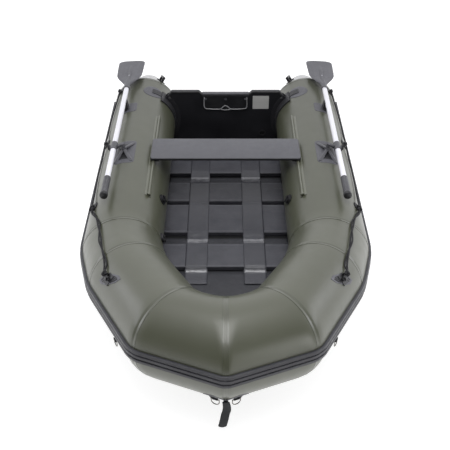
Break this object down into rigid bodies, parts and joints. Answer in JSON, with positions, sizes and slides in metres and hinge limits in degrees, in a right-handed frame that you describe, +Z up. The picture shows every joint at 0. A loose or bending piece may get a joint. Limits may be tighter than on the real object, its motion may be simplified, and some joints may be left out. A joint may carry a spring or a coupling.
{
  "type": "inflatable dinghy",
  "caption": "Inflatable boat with a rigid transom, roll-up slatted floor, sliding bench seat, pinned oars that swing out, lifelines, valves and towing rings.",
  "frame": {"origin": "on the ground under the middle of the boat, on its centre line", "axes": "+X to port, -Y towards the bow, +Y towards the transom, +Z up"},
  "size_m": [1.3238, 2.5665, 0.4882],
  "materials": {
    "hull_fabric": "matt coated fabric, olive grey",
    "cone_fabric": "satin moulded stern cone, grey",
    "strake": "moulded rubber, matt dark grey",
    "floor_fabric": "coated fabric, dark grey",
    "sleeve": "woven coated fabric, grey",
    "strap": "woven webbing",
    "slat_wood": "plywood, sealed",
    "transom_wood": "plywood, painted near black",
    "seat_wood": "plywood, painted grey",
    "black_plastic": "moulded, matt black",
    "grey_plastic": "moulded, matt grey",
    "blade_plastic": "moulded, satin grey",
    "plate": "brushed blank plate",
    "oar_tube": "anodised silver",
    "steel": "polished stainless steel",
    "rope": "laid rope, black",
    "webbing": "woven webbing, black"
  },
  "bodies": {
    "hull": {"side_tube_port": "hull_fabric", "side_tube_starboard": "hull_fabric", "shoulder_tube_port": "hull_fabric", "shoulder_tube_starboard": "hull_fabric", "cheek_tube_port": "hull_fabric", "cheek_tube_starboard": "hull_fabric", "bow_tube_port": "hull_fabric", "bow_tube_starboard": "hull_fabric", "stern_cone_port": "cone_fabric", "stern_cone_starboard": "cone_fabric", "chamber_walls": "hull_fabric", "strake_sides": "strake", "strake_bow": "strake", "bottom_skin": "floor_fabric", "bow_floor": "floor_fabric", "floor_sleeves": "sleeve", "floor_slats": "slat_wood", "floor_straps": "strap", "transom_board": "transom_wood", "transom_holders": "black_plastic", "transom_bolts": "steel", "motor_pad_inner": "black_plastic", "motor_pad_outer": "black_plastic", "blank_plate": "plate", "drain_body": "black_plastic", "seat_rail_port": "hull_fabric", "seat_rail_starboard": "hull_fabric", "fitting_patches": "floor_fabric", "oarlock_base_port": "grey_plastic", "oarlock_base_starboard": "grey_plastic", "oar_rests": "black_plastic", "line_holders": "black_plastic", "lifeline_port": "rope", "lifeline_starboard": "rope", "stern_handles": "black_plastic", "valve_bodies": "black_plastic", "ring_webs": "webbing"},
    "drain_plug": {"drain_plug": "black_plastic"},
    "seat": {"seat_board": "seat_wood", "seat_clips": "black_plastic"},
    "bow_pull": {"bow_pull": "webbing"},
    "swivel_port": {"oarlock_swivel_port": "grey_plastic", "axle_nut_port": "grey_plastic"},
    "oar_port": {"oar_collar_port": "grey_plastic", "oar_shaft_port": "oar_tube", "oar_grip_port": "black_plastic", "oar_blade_port": "blade_plastic"},
    "bow_ring_port": {"bow_ring_port": "steel"},
    "side_ring_port": {"side_ring_port": "steel"},
    "valve_cap_port": {"valve_cap_port": "black_plastic"},
    "swivel_starboard": {"oarlock_swivel_starboard": "grey_plastic", "axle_nut_starboard": "grey_plastic"},
    "oar_starboard": {"oar_collar_starboard": "grey_plastic", "oar_shaft_starboard": "oar_tube", "oar_grip_starboard": "black_plastic", "oar_blade_starboard": "blade_plastic"},
    "bow_ring_starboard": {"bow_ring_starboard": "steel"},
    "side_ring_starboard": {"side_ring_starboard": "steel"},
    "valve_cap_starboard": {"valve_cap_starboard": "black_plastic"},
    "valve_cap_bow": {"valve_cap_bow": "black_plastic"}
  },
  "joints": [
    {"name": "seat_slide", "type": "slide", "parent": "hull", "child": "seat", "axis": [0, 1, 0], "range_m": [-0.27, 0.26]},
    {"name": "oar_swing_port", "type": "hinge", "parent": "hull", "child": "swivel_port", "pos_m": [0.5116, 0.225, 0.39399], "axis": [-0.1908, 0, -0.9816], "range_deg": [0, 110]},
    {"name": "oar_dip_port", "type": "hinge", "parent": "swivel_port", "child": "oar_port", "pos_m": [0.55479, 0.225, 0.3856], "axis": [0.9816, 0, -0.1908], "range_deg": [0, 2.9]},
    {"name": "oar_swing_starboard", "type": "hinge", "parent": "hull", "child": "swivel_starboard", "pos_m": [-0.5116, 0.225, 0.39399], "axis": [-0.1908, 0, 0.9816], "range_deg": [0, 110]},
    {"name": "oar_dip_starboard", "type": "hinge", "parent": "swivel_starboard", "child": "oar_starboard", "pos_m": [-0.55479, 0.225, 0.3856], "axis": [0.9816, 0, 0.1908], "range_deg": [0, 2.9]},
    {"name": "bow_ring_swing_port", "type": "hinge", "parent": "hull", "child": "bow_ring_port", "pos_m": [0.03984, -1.20154, 0.17628], "axis": [-0.9035, -0.4221, 0.0744], "range_deg": [-25, 115]},
    {"name": "bow_ring_swing_starboard", "type": "hinge", "parent": "hull", "child": "bow_ring_starboard", "pos_m": [-0.03984, -1.20154, 0.17628], "axis": [-0.9035, 0.4221, -0.0744], "range_deg": [-25, 115]},
    {"name": "side_ring_swing_port", "type": "hinge", "parent": "hull", "child": "side_ring_port", "pos_m": [0.43671, -0.91499, 0.19033], "axis": [-0.4444, -0.8822, 0.1556], "range_deg": [-25, 115]},
    {"name": "side_ring_swing_starboard", "type": "hinge", "parent": "hull", "child": "side_ring_starboard", "pos_m": [-0.43671, -0.91499, 0.19033], "axis": [-0.4444, 0.8822, -0.1556], "range_deg": [-25, 115]},
    {"name": "bow_pull_swing", "type": "hinge", "parent": "hull", "child": "bow_pull", "pos_m": [0, -1.22015, 0.17956], "axis": [-1, 0, 0], "range_deg": [-15, 95]},
    {"name": "valve_cap_turn_port", "type": "hinge", "parent": "hull", "child": "valve_cap_port", "pos_m": [0.29369, -0.042, 0.2585], "axis": [-0.9135, 0, 0.4067], "range_deg": [0, 90]},
    {"name": "valve_cap_turn_starboard", "type": "hinge", "parent": "hull", "child": "valve_cap_starboard", "pos_m": [-0.29369, -0.042, 0.2585], "axis": [0.9135, 0, 0.4067], "range_deg": [0, 90]},
    {"name": "valve_cap_turn_bow", "type": "hinge", "parent": "hull", "child": "valve_cap_bow", "pos_m": [-0.28122, -0.3, 0.22013], "axis": [0.9781, 0, 0.2079], "range_deg": [0, 90]},
    {"name": "drain_plug_pull", "type": "slide", "parent": "hull", "child": "drain_plug", "axis": [0, 1, 0], "range_m": [0, 0.03]}
  ]
}
